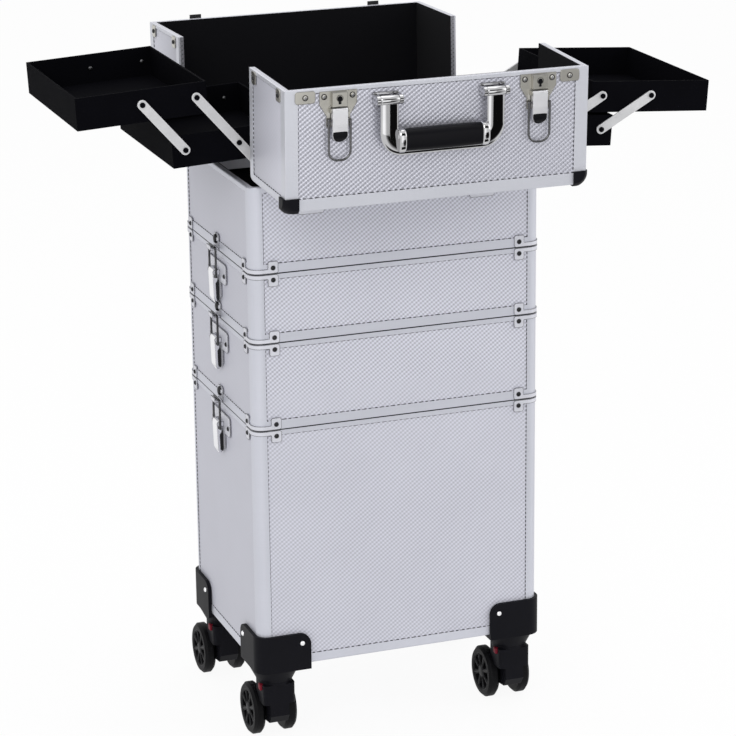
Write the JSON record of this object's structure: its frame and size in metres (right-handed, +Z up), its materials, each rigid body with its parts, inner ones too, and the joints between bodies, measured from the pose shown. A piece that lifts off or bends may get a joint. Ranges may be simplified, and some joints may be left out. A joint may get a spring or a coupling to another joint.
{
  "type": "rolling makeup case",
  "caption": "Rolling aluminium makeup case: latched tiers on swivel casters, split hinged lid, carry handle and fold-out cantilever trays.",
  "frame": {"origin": "on the floor under the middle of the stacked tiers", "axes": "+X to the object's right as seen from the front, +Y to the back, +Z up; the carry handle and lid latches face -Y"},
  "size_m": [0.7387, 0.5231, 0.7919],
  "materials": {
    "textured_panel": "embossed silver sheet",
    "satin_profile": "satin anodised",
    "black_lining": "short nap lining",
    "nickel_fittings": "nickel plated",
    "chrome": "polished",
    "black_plastic": "fine grain",
    "black_grip": "soft grip",
    "grey_arm": "satin",
    "tray_black": "felt covered",
    "wheel_black": "moulded"
  },
  "bodies": {
    "case": {"tier1_panels": "textured_panel", "tier1_frame": "satin_profile", "tier2_panels": "textured_panel", "tier2_frame": "satin_profile", "tier3_panels": "textured_panel", "tier3_frame": "satin_profile", "tier4_panels": "textured_panel", "tier4_frame": "satin_profile", "tier_linings": "black_lining", "case_fittings": "nickel_fittings", "tier1_fittings": "nickel_fittings", "caster_brackets": "black_plastic", "trolley_guides": "satin_profile"},
    "front_lid": {"front_lid_panels": "textured_panel", "front_lid_frame": "satin_profile", "front_lid_lining": "black_lining", "front_lid_fittings": "nickel_fittings", "front_lid_caps": "black_plastic"},
    "back_lid": {"back_lid_panels": "textured_panel", "back_lid_frame": "satin_profile", "back_lid_lining": "black_lining", "back_lid_fittings": "nickel_fittings", "back_lid_caps": "black_plastic"},
    "carry_handle": {"handle_bail": "chrome", "handle_grip": "black_grip"},
    "trolley_handle": {"trolley_handle": "black_plastic"},
    "left_lid_lever": {"left_lid_lever": "chrome"},
    "left_lid_loop": {"left_lid_loop": "chrome"},
    "right_lid_lever": {"right_lid_lever": "chrome"},
    "right_lid_loop": {"right_lid_loop": "chrome"},
    "left_long_arms": {"left_long_arms": "grey_arm"},
    "left_lower_arms": {"left_lower_arms": "grey_arm"},
    "left_upper_arms": {"left_upper_arms": "grey_arm"},
    "left_lower_tray": {"left_lower_tray": "tray_black"},
    "left_upper_tray": {"left_upper_tray": "tray_black"},
    "right_long_arms": {"right_long_arms": "grey_arm"},
    "right_lower_arms": {"right_lower_arms": "grey_arm"},
    "right_upper_arms": {"right_upper_arms": "grey_arm"},
    "right_lower_tray": {"right_lower_tray": "tray_black"},
    "right_upper_tray": {"right_upper_tray": "tray_black"},
    "left_lever1": {"left_lever1": "chrome"},
    "left_loop1": {"left_loop1": "chrome"},
    "left_lever2": {"left_lever2": "chrome"},
    "left_loop2": {"left_loop2": "chrome"},
    "left_lever3": {"left_lever3": "chrome"},
    "left_loop3": {"left_loop3": "chrome"},
    "right_lever1": {"right_lever1": "chrome"},
    "right_loop1": {"right_loop1": "chrome"},
    "right_lever2": {"right_lever2": "chrome"},
    "right_loop2": {"right_loop2": "chrome"},
    "right_lever3": {"right_lever3": "chrome"},
    "right_loop3": {"right_loop3": "chrome"},
    "front_left_fork": {"front_left_fork": "black_plastic"},
    "front_left_wheels": {"front_left_wheels": "wheel_black"},
    "front_right_fork": {"front_right_fork": "black_plastic"},
    "front_right_wheels": {"front_right_wheels": "wheel_black"},
    "back_left_fork": {"back_left_fork": "black_plastic"},
    "back_left_wheels": {"back_left_wheels": "wheel_black"},
    "back_right_fork": {"back_right_fork": "black_plastic"},
    "back_right_wheels": {"back_right_wheels": "wheel_black"}
  },
  "joints": [
    {"name": "front_lid_hinge", "type": "hinge", "parent": "case", "child": "front_lid", "pos_m": [0, -0.128, 0.657], "axis": [1, 0, 0], "range_deg": [-16, 0]},
    {"name": "back_lid_hinge", "type": "hinge", "parent": "case", "child": "back_lid", "pos_m": [0, 0.128, 0.657], "axis": [-1, 0, 0], "range_deg": [-16, 0]},
    {"name": "carry_handle_swing", "type": "hinge", "parent": "front_lid", "child": "carry_handle", "pos_m": [0, -0.26011, 0.77246], "axis": [-1, 0, 0], "range_deg": [0, 100]},
    {"name": "left_lid_lever_lift", "type": "hinge", "parent": "front_lid", "child": "left_lid_lever", "pos_m": [-0.112, -0.25383, 0.76467], "axis": [-1, 0, 0], "range_deg": [0, 110]},
    {"name": "left_lid_loop_flip", "type": "hinge", "parent": "left_lid_lever", "child": "left_lid_loop", "pos_m": [-0.112, -0.25349, 0.75468], "axis": [1, 0, 0], "range_deg": [-180, 0]},
    {"name": "right_lid_lever_lift", "type": "hinge", "parent": "front_lid", "child": "right_lid_lever", "pos_m": [0.112, -0.25383, 0.76467], "axis": [-1, 0, 0], "range_deg": [0, 110]},
    {"name": "right_lid_loop_flip", "type": "hinge", "parent": "right_lid_lever", "child": "right_lid_loop", "pos_m": [0.112, -0.25349, 0.75468], "axis": [1, 0, 0], "range_deg": [-180, 0]},
    {"name": "left_tray_swing", "type": "hinge", "parent": "case", "child": "left_long_arms", "pos_m": [-0.1295, 0, 0.653], "axis": [0, -1, 0], "range_deg": [-95, 21]},
    {"name": "left_lower_arm_swing", "type": "hinge", "parent": "case", "child": "left_lower_arms", "pos_m": [-0.07957, 0, 0.65562], "axis": [0, -1, 0], "range_deg": [-95, 21]},
    {"name": "left_lower_tray_level", "type": "hinge", "parent": "left_long_arms", "child": "left_lower_tray", "pos_m": [-0.17542, 0, 0.70583], "axis": [0, -1, 0], "range_deg": [-21, 95]},
    {"name": "left_upper_tray_level", "type": "hinge", "parent": "left_long_arms", "child": "left_upper_tray", "pos_m": [-0.22135, 0, 0.75866], "axis": [0, -1, 0], "range_deg": [-21, 95]},
    {"name": "left_upper_arm_swing", "type": "hinge", "parent": "left_lower_tray", "child": "left_upper_arms", "pos_m": [-0.23534, 0, 0.70269], "axis": [0, -1, 0], "range_deg": [-95, 21]},
    {"name": "right_tray_swing", "type": "hinge", "parent": "case", "child": "right_long_arms", "pos_m": [0.1295, 0, 0.653], "axis": [0, 1, 0], "range_deg": [-115, 1]},
    {"name": "right_lower_arm_swing", "type": "hinge", "parent": "case", "child": "right_lower_arms", "pos_m": [0.07962, 0, 0.65649], "axis": [0, 1, 0], "range_deg": [-115, 1]},
    {"name": "right_lower_tray_level", "type": "hinge", "parent": "right_long_arms", "child": "right_lower_tray", "pos_m": [0.19072, 0, 0.68694], "axis": [0, 1, 0], "range_deg": [-1, 115]},
    {"name": "right_upper_tray_level", "type": "hinge", "parent": "right_long_arms", "child": "right_upper_tray", "pos_m": [0.25195, 0, 0.72087], "axis": [0, 1, 0], "range_deg": [-1, 115]},
    {"name": "right_upper_arm_swing", "type": "hinge", "parent": "right_lower_tray", "child": "right_upper_arms", "pos_m": [0.25058, 0, 0.68275], "axis": [0, 1, 0], "range_deg": [-115, 1]},
    {"name": "left_lever1_lift", "type": "hinge", "parent": "case", "child": "left_lever1", "pos_m": [-0.176, 0, 0.536], "axis": [0, 1, 0], "range_deg": [0, 100]},
    {"name": "left_loop1_lean", "type": "hinge", "parent": "left_lever1", "child": "left_loop1", "pos_m": [-0.176, 0, 0.531], "axis": [0, 1, 0], "range_deg": [-92, 0]},
    {"name": "left_lever2_lift", "type": "hinge", "parent": "case", "child": "left_lever2", "pos_m": [-0.176, 0, 0.457], "axis": [0, 1, 0], "range_deg": [0, 100]},
    {"name": "left_loop2_lean", "type": "hinge", "parent": "left_lever2", "child": "left_loop2", "pos_m": [-0.176, 0, 0.452], "axis": [0, 1, 0], "range_deg": [-92, 0]},
    {"name": "left_lever3_lift", "type": "hinge", "parent": "case", "child": "left_lever3", "pos_m": [-0.176, 0, 0.357], "axis": [0, 1, 0], "range_deg": [0, 100]},
    {"name": "left_loop3_lean", "type": "hinge", "parent": "left_lever3", "child": "left_loop3", "pos_m": [-0.176, 0, 0.352], "axis": [0, 1, 0], "range_deg": [-92, 0]},
    {"name": "right_lever1_lift", "type": "hinge", "parent": "case", "child": "right_lever1", "pos_m": [0.176, 0, 0.536], "axis": [0, -1, 0], "range_deg": [0, 100]},
    {"name": "right_loop1_lean", "type": "hinge", "parent": "right_lever1", "child": "right_loop1", "pos_m": [0.176, 0, 0.531], "axis": [0, -1, 0], "range_deg": [-92, 0]},
    {"name": "right_lever2_lift", "type": "hinge", "parent": "case", "child": "right_lever2", "pos_m": [0.176, 0, 0.457], "axis": [0, -1, 0], "range_deg": [0, 100]},
    {"name": "right_loop2_lean", "type": "hinge", "parent": "right_lever2", "child": "right_loop2", "pos_m": [0.176, 0, 0.452], "axis": [0, -1, 0], "range_deg": [-92, 0]},
    {"name": "right_lever3_lift", "type": "hinge", "parent": "case", "child": "right_lever3", "pos_m": [0.176, 0, 0.357], "axis": [0, -1, 0], "range_deg": [0, 100]},
    {"name": "right_loop3_lean", "type": "hinge", "parent": "right_lever3", "child": "right_loop3", "pos_m": [0.176, 0, 0.352], "axis": [0, -1, 0], "range_deg": [-92, 0]},
    {"name": "front_left_swivel", "type": "hinge", "parent": "case", "child": "front_left_fork", "pos_m": [-0.145, -0.096, 0], "axis": [0, 0, 1], "continuous": true},
    {"name": "front_left_roll", "type": "hinge", "parent": "front_left_fork", "child": "front_left_wheels", "pos_m": [-0.145, -0.071, 0.0305], "axis": [1, 0, 0], "continuous": true},
    {"name": "front_right_swivel", "type": "hinge", "parent": "case", "child": "front_right_fork", "pos_m": [0.145, -0.096, 0], "axis": [0, 0, 1], "continuous": true},
    {"name": "front_right_roll", "type": "hinge", "parent": "front_right_fork", "child": "front_right_wheels", "pos_m": [0.145, -0.071, 0.0305], "axis": [1, 0, 0], "continuous": true},
    {"name": "back_left_swivel", "type": "hinge", "parent": "case", "child": "back_left_fork", "pos_m": [-0.145, 0.096, 0], "axis": [0, 0, 1], "continuous": true},
    {"name": "back_left_roll", "type": "hinge", "parent": "back_left_fork", "child": "back_left_wheels", "pos_m": [-0.145, 0.121, 0.0305], "axis": [1, 0, 0], "continuous": true},
    {"name": "back_right_swivel", "type": "hinge", "parent": "case", "child": "back_right_fork", "pos_m": [0.145, 0.096, 0], "axis": [0, 0, 1], "continuous": true},
    {"name": "back_right_roll", "type": "hinge", "parent": "back_right_fork", "child": "back_right_wheels", "pos_m": [0.145, 0.121, 0.0305], "axis": [1, 0, 0], "continuous": true},
    {"name": "trolley_slide", "type": "slide", "parent": "case", "child": "trolley_handle", "axis": [0, 0, 1], "range_m": [0, 0.225]}
  ],
  "couplings": [
    {"joint": "left_lower_arm_swing", "follows": "left_tray_swing", "ratio": 1},
    {"joint": "left_lower_tray_level", "follows": "left_tray_swing", "ratio": -1},
    {"joint": "left_upper_tray_level", "follows": "left_tray_swing", "ratio": -1},
    {"joint": "left_upper_arm_swing", "follows": "left_tray_swing", "ratio": 1},
    {"joint": "right_lower_arm_swing", "follows": "right_tray_swing", "ratio": 1},
    {"joint": "right_lower_tray_level", "follows": "right_tray_swing", "ratio": -1},
    {"joint": "right_upper_tray_level", "follows": "right_tray_swing", "ratio": -1},
    {"joint": "right_upper_arm_swing", "follows": "right_tray_swing", "ratio": 1},
    {"joint": "left_loop1_lean", "follows": "left_lever1_lift", "ratio": -0.91673},
    {"joint": "left_loop2_lean", "follows": "left_lever2_lift", "ratio": -0.91673},
    {"joint": "left_loop3_lean", "follows": "left_lever3_lift", "ratio": -0.91673},
    {"joint": "right_loop1_lean", "follows": "right_lever1_lift", "ratio": -0.91673},
    {"joint": "right_loop2_lean", "follows": "right_lever2_lift", "ratio": -0.91673},
    {"joint": "right_loop3_lean", "follows": "right_lever3_lift", "ratio": -0.91673}
  ]
}
